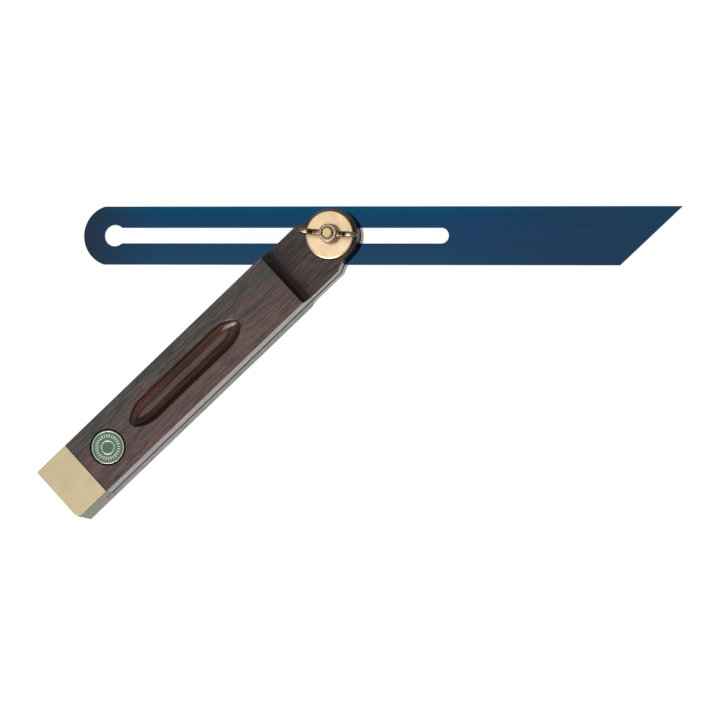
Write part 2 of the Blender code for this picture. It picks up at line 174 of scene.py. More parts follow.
# From where to where the paint's masks rise, along X, Y or Z, or as a distance or a slope. The brass's
# painted shade lies towards the side that is up in the camera's view, and the side facing the window,
# down, keeps its highlights.
GROOVE_SIDES = (GROOVE_WIDTH * 0.62, GROOVE_WIDTH * 0.56)
GROOVE_END = (STEP_X, STEP_X - 0.0020)
GROOVE_UNDER = (THICKNESS - GROOVE_DEPTH - 0.0006, THICKNESS - GROOVE_DEPTH - 0.0002)
GROOVE_BOWL = (THICKNESS - 0.0002, THICKNESS - 0.0009)
GROOVE_WALLS = (0.0008, 0.0019)
# The groove's wall at +Y is painted lighter, standing in for the window's light on it.
GROOVE_PAINTED_LIT_WALL = (-0.001, 0.002)
GROOVE_FLOOR_Y = 0.0006
LIP_TOP = (THICKNESS - 0.00003, THICKNESS - 0.00025)
LIP_FOOT = (THICKNESS - 0.0010, THICKNESS - 0.0005)
POCKET_SIDE = (POCKET_RADIUS + 0.0002, POCKET_RADIUS)
SLOT_WALLS = (BLADE_SLOT / 2 + 0.0003, BLADE_SLOT / 2 + 0.0001)
JOINT_EDGE = (JOINT_X + 0.0005, JOINT_X + 0.0002)
LEVEL_SLOPES = (0.15, 0.45)
HEAD_FACE = (STEP_X - 0.0001, STEP_X + 0.0003)
COVE_SHADE = (STEP_X, STEP_X + 0.011, 1.0, 0.0)
UPPER_CHEEK = (MID_Z, MID_Z + BLADE_SLOT / 2)
OVER_BLADE = (PIVOT.x - 0.006, PIVOT.x - 0.003)
LOWER_CHEEK = (STEP_X + 0.004, STEP_X)
HOLLOW_START = (0.0041, 0.0047)
HOLLOW_END = (0.0085, 0.0078)
SIDE_SHADE_PLACES = (-0.006, 0.009)
SHADED_SIDE = (0.692, 0.722, 0.0)
WINDOW_FACING_SIDE = (-0.242, -0.253, 0.0)
GRAIN_DRIFT = 0.0022
BLUE_WAVER = 0.010

# Widths of the edge masks, for wear and for painted edge shade, and depths of the surfaces' relief
WOOD_WEAR = 0.0004
CAP_EDGE_WIDTH = 0.0003
BRASS_WEAR = 0.0002
STEEL_EDGE_WIDTH = 0.00025
PORE_DEPTH = 0.00003
BRUSHING_DEPTH = 0.000012
TURNING_DEPTH = 0.000006
GRINDING_DEPTH = 0.000008
ENAMEL_DEPTH = 0.00001

# Wood: stops of place and colour, painted shade by place (with the head's darker tone and the joint's
# dark line), and what is left of the sheen there
WARM_TO_GREY = (0.20, -0.08)
WOOD_STOPS = ((0.34, (0.0165, 0.0190, 0.0155)), (0.46, (0.0265, 0.0195, 0.0155)),
              (0.56, (0.0560, 0.0255, 0.0200)), (0.70, (0.0960, 0.0380, 0.0290)))
GROOVE_STOPS = ((0.40, (0.018, 0.0090, 0.0070)), (0.52, (0.050, 0.0205, 0.0135)),
                (0.66, (0.110, 0.0440, 0.0270)))
WOOD_LIT = (0.130, 0.068, 0.053)
WOOD_SHADED = (0.005, 0.004, 0.0038)
WOOD_PORE = (0.004, 0.003, 0.0028)
WOOD_WORN = (0.10, 0.055, 0.035)
WOOD_SHADES = (
    # Painted shade: a dark line along the groove's rolled lip.
    ("lip", 0.7, (0.004, 0.003, 0.0028)),
    # Painted shade in the gap round the badge.
    ("pocket", 0.95, (0.002, 0.0015, 0.0015)),
    # Painted shade, a cool grey, inside the blade's slot.
    ("slot", 0.9, (0.030, 0.031, 0.036)),
    ("joint", 0.85, (0.010, 0.006, 0.004)),
    ("head", 0.5, (0.026, 0.0195, 0.0170)),
    # Painted shade at the foot of the step, fading up the cove.
    ("cove", 0.35, (0.0060, 0.0050, 0.0050)),
    # Painted reflection: the upright sides greyed, standing in for the grey they reflect.
    ("upright", 0.5, (0.022, 0.020, 0.021)),
    # Painted shade on the cheek over the blade, by the head.
    ("over_blade", 0.8, (0.0040, 0.0035, 0.0040)),
)
WOOD_SHEENS = (("pocket", 0.1), ("head", 0.86), ("cove", 0.5), ("groove", 0.70), ("walls", 0.45),
               ("over_blade", 0.10), ("lower_cheek", 0.70))
WOOD_ROUGHNESS = (0.28, 0.40)
GROOVE_ROUGHNESS_SHARE = 0.34
WOOD_COATS = (0.42, 0.25)

# Metals and enamel. Each brass: bright and darker tones, roughness, painted shade of steep faces, the
# slope that it starts from and tarnish in hollows. Each end of the blade: from and to, strength and
# colour.
CAP_TONES = ((0.60, 0.505, 0.31), (0.54, 0.44, 0.264))
CAP_LINES = (0.72, 0.61, 0.39)
# Painted shade on the cap's -Y side, standing in for the dim floor it reflects.
CAP_SIDE_SHADE = (0.150, 0.132, 0.098)
# The cap's edges greyed: wear, and a painted grey reflection.
CAP_EDGE_GREY = (0.36, 0.34, 0.30)
BRASSES = {
    "washer_brass": ((0.83, 0.622, 0.406), (0.73, 0.53, 0.325), 0.25, 0.95, 0.97, 0.0),
    "bolt_brass": ((0.62, 0.44, 0.24), (0.52, 0.36, 0.19), 0.16, 0.20, 0.95, 0.0),
    "nut_brass": ((0.58, 0.46, 0.32), (0.48, 0.37, 0.24), 0.20, 0.80, 0.96, 0.85),
}
# Painted dark reflection on steep brass faces turned from the window.
BRASS_SLOPE_SHADE = (0.05, 0.029, 0.015)
HOLLOW_TARNISH = (0.085, 0.042, 0.020)
BRASS_WORN = (0.86, 0.74, 0.52)
BLUE_STOPS = ((0.0, (0.0100, 0.0375, 0.080)), (0.35, (0.0083, 0.0320, 0.075)),
              (0.62, (0.0077, 0.0320, 0.085)), (0.84, (0.0026, 0.0350, 0.085)),
              (0.95, (0.0018, 0.0450, 0.082)))
BLUE_ENDS = (((-0.075, -0.103), 0.85, (0.0122, 0.0185, 0.0285)),
             ((0.040, 0.100), 0.75, (0.0090, 0.0235, 0.050)))
BLUE_LINES = (0.03, 0.07, 0.13)
# Painted shade along the blade's edges.
STEEL_EDGE_SHADE = (0.004, 0.007, 0.012)
PLATE_TONES = ((0.56, 0.62, 0.52), (0.40, 0.46, 0.36))
ENAMEL_STOPS = ((0.35, (0.010, 0.058, 0.026)), (0.65, (0.038, 0.128, 0.068)))

# Studio: the room's grey by the height of a direction, the floor and the window
ROOM_STOPS = ((0.0, (0.22, 0.22, 0.225)), (0.22, (0.50, 0.50, 0.51)), (0.66, (0.62, 0.62, 0.63)),
              (0.84, (0.18, 0.18, 0.185)), (0.90, (0.12, 0.12, 0.125)), (0.95, (1.55, 1.55, 1.55)))
SOFT_STRENGTH = 0.32
WHITE = (1.0, 1.0, 1.0, 1.0)
FLOOR_BOUNCE = (0.75, 0.75, 0.75, 1.0)
FLOOR_CATCH = (0.07, 0.07, 0.07, 1.0)
FLOOR_GLOW = 0.98
FLOOR_LOW = (-3.0, -3.0, -0.02)
FLOOR_HIGH = (3.0, 3.0, -0.0001)
WINDOW_AIM = Vector((0.02, 0, 0))
WINDOW_PLACE = WINDOW_AIM + Vector((-0.68, -0.43, 0.59))
WINDOW_WIDTH = 0.85
WINDOW_HEIGHT = 0.42
WINDOW_POWER = 10.0


def grown(outline, distance):
    """A closed counter-clockwise outline moved outwards by a distance, with mitred corners."""
    moved = []
    count = len(outline)
    for i in range(count):
        before = Vector(outline[i - 1])
        here = Vector(outline[i])
        after = Vector(outline[(i + 1) % count])
        one = (here - before).normalized()
        two = (after - here).normalized()
        out_one = Vector((one.y, -one.x))
        out_two = Vector((two.y, -two.x))
        bisector = (out_one + out_two).normalized()
        moved.append(here + bisector * distance / max(bisector.dot(out_one), MITRE_LIMIT))
    return moved


def arc(centre, radius, start, end, steps):
    """Points along an arc, both ends included."""
    points = []
    for i in range(steps + 1):
        angle = start + (end - start) * i / steps
        points.append((centre[0] + radius * math.cos(angle), centre[1] + radius * math.sin(angle)))
    return points


def ringed(rings, closed=False):
    """A skin over rings of equal counts, with its ends capped unless it closes on itself."""
    bm = bmesh.new()
    made = [[bm.verts.new(point) for point in ring] for ring in rings]
    pairs = list(zip(made, made[1:]))
    if closed:
        pairs.append((made[-1], made[0]))
    for one, two in pairs:
        for i in range(len(one)):
            j = (i + 1) % len(one)
            bm.faces.new((one[i], one[j], two[j], two[i]))
    if not closed:
        bm.faces.new(made[0])
        bm.faces.new(made[-1])
    return bm


def stacked(outline, levels):
    """An outline repeated at each level, given as growth and height."""
    rings = []
    for growth, height in levels:
        rings.append([(x, y, height) for x, y in grown(outline, growth)])
    return ringed(rings)


def eased_levels(low, high, ease):
    """Levels of a slab whose rims are rounded inwards, or flared outwards where ease is below zero."""
    size = abs(ease)
    lower = []
    for i in range(RIM_STEPS + 1):
        angle = math.pi / 2 * i / RIM_STEPS
        lower.append((-ease * (1 - math.sin(angle)), size * (1 - math.cos(angle))))
    upper = [(growth, high - height) for growth, height in reversed(lower)]
    return [(growth, low + height) for growth, height in lower] + upper


def turned(profile, closed=False):
    """A profile of radius and height points turned about Z. A point at radius zero ends it."""
    bm = bmesh.new()
    verts = [bm.verts.new((radius, 0, height)) for radius, height in profile]
    pairs = list(zip(verts, verts[1:]))
    if closed:
        pairs.append((verts[-1], verts[0]))
    edges = [bm.edges.new(pair) for pair in pairs]
    bmesh.ops.spin(bm, geom=verts + edges, cent=(0, 0, 0), axis=(0, 0, 1),
                   angle=math.tau, steps=TURN_STEPS, use_merge=True)
    return bm


def box_mesh(low, high):
    outline = [(low[0], low[1]), (high[0], low[1]), (high[0], high[1]), (low[0], high[1])]
    return stacked(outline, [(0, low[2]), (0, high[2])])


def placed(name, data):
    """A new object in the scene."""
    made = bpy.data.objects.new(name, data)
    bpy.context.scene.collection.objects.link(made)
    return made


def piece(name, bm, place=None):
    """A named object at the origin, its place in its mesh, its faces outwards."""
    bmesh.ops.remove_doubles(bm, verts=bm.verts, dist=WELD)
    bmesh.ops.recalc_face_normals(bm, faces=bm.faces)
    if place is not None:
        bmesh.ops.transform(bm, matrix=place, verts=bm.verts)
    mesh = bpy.data.meshes.new(name)
    bm.to_mesh(mesh)
    bm.free()
    return placed(name, mesh)


def settle(target):
    """Put the evaluated mesh in place of the modifiers."""
    bpy.context.view_layer.update()
    graph = bpy.context.evaluated_depsgraph_get()
    mesh = bpy.data.meshes.new_from_object(target.evaluated_get(graph))
    target.modifiers.clear()
    old = target.data
    target.data = mesh
    bpy.data.meshes.remove(old)


def combine(target, operation, *others):
    """Cut other pieces from a piece or join them to it, and delete them."""
    for other in others:
        step = target.modifiers.new(other.name, "BOOLEAN")
        step.operation = operation
        step.solver = "EXACT"
        step.object = other
    settle(target)
    for other in others:
        bpy.data.objects.remove(other, do_unlink=True)


def ease_edges(target, width, chosen):
    """Round the sharp edges that a test chooses."""
    bm = bmesh.new()
    bm.from_mesh(target.data)
    bmesh.ops.remove_doubles(bm, verts=bm.verts, dist=WELD)
    bmesh.ops.dissolve_limit(bm, angle_limit=FLAT_ANGLE, verts=bm.verts, edges=bm.edges)
    edges = []
    for edge in bm.edges:
        if edge.is_manifold and edge.calc_face_angle() > SHARP_ANGLE and chosen(edge):
            edges.append(edge)
    bmesh.ops.bevel(bm, geom=edges, offset=width, segments=RIM_STEPS, profile=0.5,
                    affect="EDGES", clamp_overlap=True)
    bm.to_mesh(target.data)
    bm.free()


def smooth(target):
    """Smooth shading that keeps flat faces flat and sharp corners sharp."""
    target.data.shade_smooth()
    target.data.set_sharp_from_angle(angle=SHARP_ANGLE)
    step = target.modifiers.new("flat_faces_lead", "WEIGHTED_NORMAL")
    step.keep_sharp = True
    settle(target)


def dress(target, material, body, slot, *nodes):
    """Give a finished piece its material, its body and the node it stands for. Its slot is not used.
    """
    target.data.materials.clear()
    target.data.materials.append(material)
    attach(target, body)
    if nodes:
        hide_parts(*nodes)


def stock_outline():
    """The stock from the front: straight edges, flared shoulders and the round head."""
    drop = HALF_WIDTH - HEAD_RADIUS
    sweep = math.acos(1 - drop / SHOULDER_RADIUS)
    flare_x = PIVOT.x - SHOULDER_TO_PIVOT + SHOULDER_RADIUS * math.sin(sweep)
    below = (flare_x, -HEAD_RADIUS - SHOULDER_RADIUS)
    quarter = math.pi / 2
    lower = arc(below, SHOULDER_RADIUS, quarter + sweep, quarter, 12)
    head = arc((PIVOT.x, 0), HEAD_RADIUS, -quarter, quarter, FINE_STEPS)
    upper = [(x, -y) for x, y in reversed(lower)]
    return [(JOINT_X, -HALF_WIDTH)] + lower + head[1:-1] + upper + [(JOINT_X, HALF_WIDTH)]


def recess_form(name, front):
    """The space over the thinned head, with the cove where the grip begins."""
    depth = THICKNESS - HEAD_FRONT_Z
    sweep = math.acos(1 - depth / COVE_RADIUS)
    cove_x = STEP_X + COVE_RADIUS * math.sin(sweep)
    far_x = STOCK_HIGH.x + OVERRUN
    top = THICKNESS + OVERRUN
    steps = 28
    side = [(far_x, top), (STEP_X, top)]
    for i in range(steps + 1):
        angle = sweep * (1 - i / steps)
        drop = COVE_RADIUS * (1 - math.cos(angle))
        side.append((cove_x - COVE_RADIUS * math.sin(angle), HEAD_FRONT_Z + drop))
    side.append((far_x, HEAD_FRONT_Z))
    if not front:
        side = [(x, THICKNESS - z) for x, z in side]
    half = HALF_WIDTH + OVERRUN
    return piece(name, ringed([[(x, y, z) for x, z in side] for y in (-half, half)]))


def groove_form():
    """A canoe of round section whose lips roll out over the stock's face."""
    steps = 30
    ends = []
    for i in range(steps + 1):
        share = GROOVE_TIP_SHARE + (1 - GROOVE_TIP_SHARE) * (i / steps) ** GROOVE_CROWDING
        fullness = (1 - (1 - share) ** 2) ** GROOVE_FULLNESS_SHARE
        ends.append((GROOVE_END_RUN * share, fullness))
    stations = ends + [(GROOVE_LENGTH - along, full) for along, full in reversed(ends)]
    rings = []
    for along, fullness in stations:
        rings.append([(GROOVE_START_X + along, y, z) for y, z in groove_section(fullness)])
    return piece("groove_form", ringed(rings))


def groove_section(fullness):
    """Half the section is worked out and mirrored: the bowl, the rolled lip and the top."""
    half = GROOVE_WIDTH / 2 * fullness
    depth = GROOVE_DEPTH * fullness
    radius = (half * half + depth * depth) / (2 * depth)
    sweep = math.asin(min(1, half / radius))
    lip = min(GROOVE_LIP, GROOVE_LIP_LIMIT * half)
    lip_sweep = lip / radius
    steps = 20
    right = []
    for i in range(1, steps + 1):
        angle = (sweep - lip_sweep) * i / steps
        right.append((radius * math.sin(angle), THICKNESS - depth + radius * (1 - math.cos(angle))))
    start = Vector(right[-1])
    corner = Vector((half, THICKNESS))
    end = Vector((half + lip, THICKNESS + GROOVE_LIP_LEAN * lip))
    lip_steps = 5
    for i in range(1, lip_steps + 1):
        t = i / lip_steps
        point = start * (1 - t) ** 2 + corner * 2 * t * (1 - t) + end * t ** 2
        right.append((point.x, point.y))
    right.append((half + lip, THICKNESS + OVERRUN))
    left = [(-y, z) for y, z in reversed(right)]
    return left + [(0, THICKNESS - depth)] + right


def slot_form(name):
    """The blade's slot, open at both edges and the head."""
    half = HALF_WIDTH + OVERRUN
    low = (SLOT_BOTTOM_X, -half, MID_Z - BLADE_SLOT / 2)
    high = (STOCK_HIGH.x + OVERRUN, half, MID_Z + BLADE_SLOT / 2)
    return piece(name, box_mesh(low, high))


def hole_form(name, diameter, low, high, centre, lip=0.0):
    """A round cutter that widens at the face by a small lip."""
    radius = diameter / 2
    profile = [(0, low), (radius, low), (radius, high - lip), (radius + lip, high),
               (radius + lip, high + OVERRUN), (0, high + OVERRUN)]
    return piece(name, turned(profile), Matrix.Translation(centre))


def beside_joint(edge):
    return all(vert.co.x < JOINT_X + WELD for vert in edge.verts)


def along_slot(edge):
    return all(abs(abs(vert.co.z - MID_Z) - BLADE_SLOT / 2) < WELD for vert in edge.verts)


def outer_edge(edge):
    """True for the rims of both faces, the head's rims, the coves' sides and the steps."""
    if beside_joint(edge):
        return False
    return all(abs(vert.co.z - MID_Z) > BLADE_SLOT for vert in edge.verts)


def make_stock(material):
    """The wood: recessed and slotted, eased, then joined to its tenon, grooved and bored."""
    stock = piece("stock_rosewood", stacked(stock_outline(), [(0, 0), (0, THICKNESS)]))
    combine(stock, "DIFFERENCE", recess_form("front_recess", True), recess_form("back_recess", False),
            slot_form("stock_slot"))
    ease_edges(stock, SLOT_EASE, lambda edge: along_slot(edge) and not beside_joint(edge))
    ease_edges(stock, EDGE_EASE, outer_edge)
    inset = CAP_WALL + SEAT_GAP
    tenon_low = (CAP_LOW.x + inset, inset - HALF_WIDTH, inset)
    tenon_high = (JOINT_X + OVERRUN, HALF_WIDTH - inset, THICKNESS - inset)
    combine(stock, "UNION", piece("tenon", box_mesh(tenon_low, tenon_high)))
    pocket = hole_form("badge_pocket", 2 * POCKET_RADIUS, PLATE_LOW.z - SEAT_GAP, THICKNESS,
                       (BADGE_CENTRE.x, BADGE_CENTRE.y, 0), BADGE_EASE / 2)
    shank = hole_form("shank_hole", SHANK_DIAMETER + 2 * RUN_GAP, -OVERRUN, MID_Z, PIVOT)
    thread = hole_form("thread_hole", THREAD_DIAMETER + 2 * RUN_GAP, MID_Z, THICKNESS, PIVOT)
    combine(stock, "DIFFERENCE", slot_form("tenon_slot"), groove_form(), pocket, shank, thread)
    smooth(stock)
    dress(stock, material, "stock", "wood", "stock")


def slice_corner(bm):
    """Slice a corner off the cap's end, deep at the front and shallow at the back."""
    across = Vector((CAP_LOW.x, CAP_CORNER_ACROSS - HALF_WIDTH, THICKNESS))
    along = Vector((CAP_LOW.x + CAP_CORNER_ALONG, -HALF_WIDTH, THICKNESS))
    back = Vector((CAP_LOW.x, CAP_CORNER_ACROSS * CAP_CORNER_BACK_SHARE - HALF_WIDTH, 0))
    inwards = (along - across).cross(back - across)
    cut = bmesh.ops.bisect_plane(bm, geom=bm.verts[:] + bm.edges[:] + bm.faces[:],
                                 plane_co=across, plane_no=inwards, clear_inner=True)
    rim = [edge for edge in cut["geom_cut"] if isinstance(edge, bmesh.types.BMEdge)]
    bmesh.ops.edgeloop_fill(bm, edges=rim)


def make_cap(material):
    """A brass box over the wood's end, with one corner of its end cut off."""
    mouth = CAP_HIGH.x
    shell = box_mesh((CAP_LOW.x, -HALF_WIDTH, 0), (mouth, HALF_WIDTH, THICKNESS))
    slice_corner(shell)
    cap = piece("cap_shell", shell)
    ease_edges(cap, EDGE_EASE, lambda edge: not all(v.co.x > mouth - WELD for v in edge.verts))
    low = (CAP_LOW.x + CAP_WALL, CAP_WALL - HALF_WIDTH, CAP_WALL)
    high = (mouth + OVERRUN, HALF_WIDTH - CAP_WALL, THICKNESS - CAP_WALL)
    combine(cap, "DIFFERENCE", piece("cap_hollow", box_mesh(low, high)), slot_form("cap_slot"))
    smooth(cap)
    dress(cap, material, "stock", "cap_brass", "end_cap")


def tick_tree():
    """Geometry nodes that set small bars round a circle, pointing outwards."""
    tree = bpy.data.node_groups.new("badge_ticks", "GeometryNodeTree")
    face = tree.interface
    sizes = (("Count", "Int"), ("Radius", "Float"), ("Bar", "Vector"), ("Material", "Material"))
    for name, kind in sizes:
        face.new_socket(name, in_out="INPUT", socket_type="NodeSocket" + kind)
    face.new_socket("Geometry", in_out="OUTPUT", socket_type="NodeSocketGeometry")
    add = tree.nodes.new
    source, result = add("NodeGroupInput"), add("NodeGroupOutput")
    circle, bar = add("GeometryNodeMeshCircle"), add("GeometryNodeMeshCube")
    place = add("GeometryNodeInputPosition")
    aim = add("FunctionNodeAlignRotationToVector")
    aim.axis = "X"
    scatter = add("GeometryNodeInstanceOnPoints")
    realize = add("GeometryNodeRealizeInstances")
    paint = add("GeometryNodeSetMaterial")
    links = (
        (source, "Count", circle, "Vertices"), (source, "Radius", circle, "Radius"),
        (source, "Bar", bar, "Size"), (place, "Position", aim, "Vector"),
        (circle, "Mesh", scatter, "Points"), (bar, "Mesh", scatter, "Instance"),
        (aim, "Rotation", scatter, "Rotation"), (scatter, "Instances", realize, "Geometry"),
        (realize, "Geometry", paint, "Geometry"), (source, "Material", paint, "Material"),
        (paint, "Geometry", result, "Geometry"),
    )
    for giver, output, taker, socket in links:
        tree.links.new(giver.outputs[output], taker.inputs[socket])
    return tree


def make_ticks(material, centre):
    """The badge's ring of ticks, made a plain mesh."""
    tree = tick_tree()
    ticks = placed("badge_ticks", bpy.data.meshes.new("badge_ticks"))
    step = ticks.modifiers.new("ticks", "NODES")
    step.node_group = tree
    values = {
        "Count": TICK_COUNT,
        "Radius": TICK_RADIUS,
        "Bar": (TICK_LENGTH, TICK_WIDTH, TICK_HEIGHT),
        "Material": material,
    }
    for item in tree.interface.items_tree:
        if item.in_out == "INPUT":
            step[item.identifier] = values[item.name]
    settle(ticks)
    ticks.data.transform(Matrix.Translation(centre))
    return ticks


def make_badge(metal, enamel):
    """A rimmed disc in the pocket, with a ring, ticks and enamel in its dish."""
    dish = BADGE_RADIUS - BADGE_RIM
    low, high = PLATE_LOW.z, PLATE_HIGH.z
    enamel_top = ENAMEL_HIGH.z
    floor = ENAMEL_LOW.z - SEAT_GAP / 2
    rim = arc((dish + BADGE_EASE, high - BADGE_EASE), BADGE_EASE, math.pi / 2, math.pi, 5)
    edge = arc((BADGE_RADIUS - BADGE_EASE, high - BADGE_EASE), BADGE_EASE, 0, math.pi / 2, 5)
    profile = [(0, low), (BADGE_RADIUS, low)] + edge + rim + [(dish, floor), (0, floor)]
    place = Matrix.Translation((BADGE_CENTRE.x, BADGE_CENTRE.y, 0))
    plate = piece("badge_disc", turned(profile), place)
    smooth(plate)
    dress(plate, metal, "stock", "badge_metal", "badge_plate")
    ring_top = enamel_top + TICK_HEIGHT / 2
    inner = RING_RADIUS - RING_WIDTH / 2
    ring_profile = [(inner, enamel_top), (RING_RADIUS + RING_WIDTH / 2, enamel_top),
                    (RING_RADIUS + RING_WIDTH / 3, ring_top), (inner + RING_WIDTH / 6, ring_top)]
    ring = piece("badge_ring", turned(ring_profile, closed=True), place)
    smooth(ring)
    dress(ring, metal, "stock", "badge_metal")
    ticks = make_ticks(metal, (BADGE_CENTRE.x, BADGE_CENTRE.y, enamel_top))
    dress(ticks, metal, "stock", "badge_metal")
    field = dish - RUN_GAP
    disc = piece("badge_field", turned([(0, ENAMEL_LOW.z), (field, ENAMEL_LOW.z), (field, enamel_top),
                                        (0, enamel_top)]), place)
    smooth(disc)
    dress(disc, enamel, "stock", "enamel", "badge_enamel")


def blade_outline():
    """The blade in its own frame: pivot at the origin, tip along +X."""
    half = BLADE_WIDTH / 2
    round_x = BLADE_END_RADIUS - ROUND_END_TO_PIVOT
    lean = math.asin(half / BLADE_END_RADIUS)
    tip_x = BLADE_LENGTH - ROUND_END_TO_PIVOT
    lower = (tip_x - BLADE_WIDTH / math.tan(TIP_ANGLE), -half)
    return arc((round_x, 0), BLADE_END_RADIUS, math.pi - lean, math.pi + lean, FINE_STEPS) + [
        lower, (tip_x, half)]


def keyhole_outline():
    """The long slot with its round far end and the larger hole at the near end."""
    half = BLADE_SLOT_WIDTH / 2
    hole = KEYHOLE_DIAMETER / 2
    hole_x = KEYHOLE_TO_END - ROUND_END_TO_PIVOT
    end_x = BLADE_SLOT_END - ROUND_END_TO_PIVOT - half
    opening = math.asin(half / hole)
    quarter = math.pi / 2
    return (arc((hole_x, 0), hole, opening, math.tau - opening, FINE_STEPS)
            + arc((end_x, 0), half, -quarter, quarter, FINE_STEPS // 2))


def make_blade(material):
    """The blade with its eased edges and the slot cut through it."""
    low, high = BLADE_LOW.z, BLADE_HIGH.z
    blade = piece("blade_blued", stacked(blade_outline(), eased_levels(low, high, BLADE_EASE)),
                  BLADE_PLACE)
    levels = eased_levels(low, high, -BLADE_EASE)
    levels = [(BLADE_EASE, low - OVERRUN)] + levels + [(BLADE_EASE, high + OVERRUN)]
    combine(blade, "DIFFERENCE", piece("keyhole", stacked(keyhole_outline(), levels), BLADE_PLACE))
    smooth(blade)
    dress(blade, material, "blade", "blued_steel", "blade")


def thread_share(turn):
    """Depth of the thread's groove, from 0 on a crest to 1 in a root, by turns."""
    part = turn % 1
    return min(1, max(0, THREAD_FLANK * min(part, 1 - part) - THREAD_CREST))


def bolt_ring(radius, height, flat=None, threaded=False):
    """One ring of the bolt, cut back to its flats or to its thread."""
    points = []
    for i in range(FINE_STEPS):
        angle = math.tau * i / FINE_STEPS
        reach = radius
        if flat:
            reach = min(reach, flat / max(abs(math.sin(angle)), WELD))
        if threaded:
            turn = (height - THREAD_START_Z) / THREAD_PITCH - angle / math.tau
            reach = min(reach, THREAD_DIAMETER / 2 - THREAD_DEPTH * thread_share(turn))
        points.append((reach * math.cos(angle), reach * math.sin(angle), height))
    return points


def crown_rings(head):
    """The low dome of the bolt's head, from its middle outwards."""
    dome = (head * head + BOLT_CROWN ** 2) / (2 * BOLT_CROWN)
    sweep = math.asin(head / dome)
    steps = 10
    rings = []
    for i in range(1, steps + 1):
        angle = sweep * i / steps
        rings.append(bolt_ring(dome * math.sin(angle), BOLT_LOW.z + dome * (1 - math.cos(angle))))
    return rings


def thread_rings():
    """The threaded end, with its chamfer."""
    length = BOLT_HIGH.z - THREAD_START_Z
    chamfer_z = BOLT_HIGH.z - BOLT_CHAMFER
    count = round(length / (THREAD_PITCH / RINGS_PER_TURN))
    rings = []
    for i in range(1, count + 1):
        height = THREAD_START_Z + length * i / count
        radius = THREAD_DIAMETER / 2 - max(0, height - chamfer_z)
        rings.append(bolt_ring(radius, height, threaded=True))
    return rings


def make_bolt(material):
    """Low crowned head, shank with two flats for the blade's slot, and the threaded end."""
    head = (BOLT_HIGH.x - BOLT_LOW.x) / 2
    shank = SHANK_DIAMETER / 2
    thread = THREAD_DIAMETER / 2
    flat = BLADE_SLOT_WIDTH / 2 - RUN_GAP
    head_top = BOLT_LOW.z + BOLT_HEAD_HEIGHT
    flat_low = MID_Z - BLADE_SLOT / 2 - SEAT_GAP
    shank_top = MID_Z + BLADE_SLOT / 2 - SEAT_GAP
    rings = crown_rings(head)
    rings += [bolt_ring(head, head_top - BOLT_CROWN / 4), bolt_ring(head - BOLT_CROWN / 4, head_top)]
    rings += [bolt_ring(shank, head_top), bolt_ring(shank, flat_low)]
    rings += [bolt_ring(shank, flat_low + WELD, flat), bolt_ring(shank, shank_top, flat)]
    rings += [bolt_ring(thread, shank_top + WELD), bolt_ring(thread, THREAD_START_Z)]
    bolt = piece("bolt_threaded", ringed(rings + thread_rings()), BLADE_PLACE)
    smooth(bolt)
    dress(bolt, material, "bolt", "bright_brass", "pivot_bolt")


def make_washer(name, material, bore, body, node):
    """A polished ring whose outer rim is rounded on the side away from the stock."""
    low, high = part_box(node)
    centre = (low + high) / 2
    upwards = centre.z > MID_Z
    outer = (high.x - low.x) / 2
    height = high.z - low.z
    profile = [(bore, 0), (outer, 0)]
    for along, up in arc((0, 0), 1, 0, math.pi / 2, 10):
        profile.append((outer - WASHER_RIM_WIDTH * (1 - along), height - WASHER_RIM_HEIGHT * (1 - up)))
    profile += [(bore + BADGE_EASE, height), (bore, height - BADGE_EASE)]
    place = Matrix.Translation((centre.x, centre.y, low.z if upwards else high.z))
    if not upwards:
        place = place @ Matrix.Rotation(math.pi, 4, "X")
    washer = piece(name, turned(profile, closed=True), place)
    smooth(washer)
    dress(washer, material, body, "bright_brass", node)


def wings_outline():
    """Both wings from the side, with the dip between them inside the hub."""
    ear = WING_EAR_RADIUS
    base = HUB_BASE_DIAMETER / 2
    top = HUB_TOP_DIAMETER / 2
    ear_x = WING_SPAN / 2 - ear
    ear_z = HUB_HEIGHT + WING_RISE - ear
    dip_z = HUB_HEIGHT - HUB_FOOT
    right = [(base - HUB_FOOT, HUB_FOOT)]
    right += arc((ear_x, ear_z), ear, EAR_START, EAR_END, 32)
    right += [((top + ear_x) / 2, dip_z + WING_RISE / 4), (top, dip_z)]
    left = [(-x, z) for x, z in reversed(right)]
    return right + left


